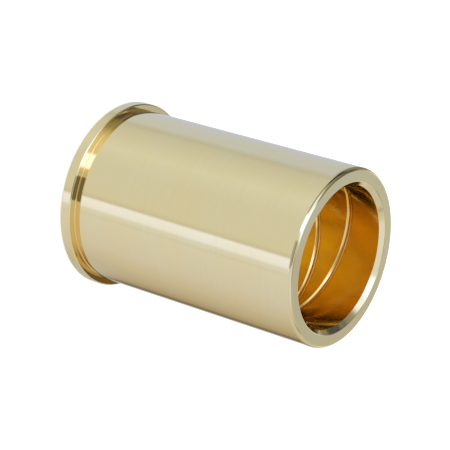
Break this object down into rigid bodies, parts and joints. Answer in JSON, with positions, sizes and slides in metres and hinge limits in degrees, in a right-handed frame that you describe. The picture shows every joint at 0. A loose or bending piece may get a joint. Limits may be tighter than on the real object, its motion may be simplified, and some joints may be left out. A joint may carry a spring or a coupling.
{
  "type": "ejector bushing",
  "caption": "Headed guide sleeve of bearing brass with a thin round head, a neck undercut, a chamfered bore and crossed oil grooves in the bore.",
  "frame": {"origin": "centre of the head's flat outer face, on the surface that the bushing stands on", "axes": "+Z along the bore, from the head to the open nose; the two oil grooves start on the -X side of the bore, nearest the nose"},
  "size_m": [0.0512, 0.0512, 0.073],
  "materials": {
    "bearing_brass": "finely turned and ground, with a honed bore"
  },
  "bodies": {
    "root": {"ejector_bushing": "bearing_brass"}
  },
  "joints": []
}
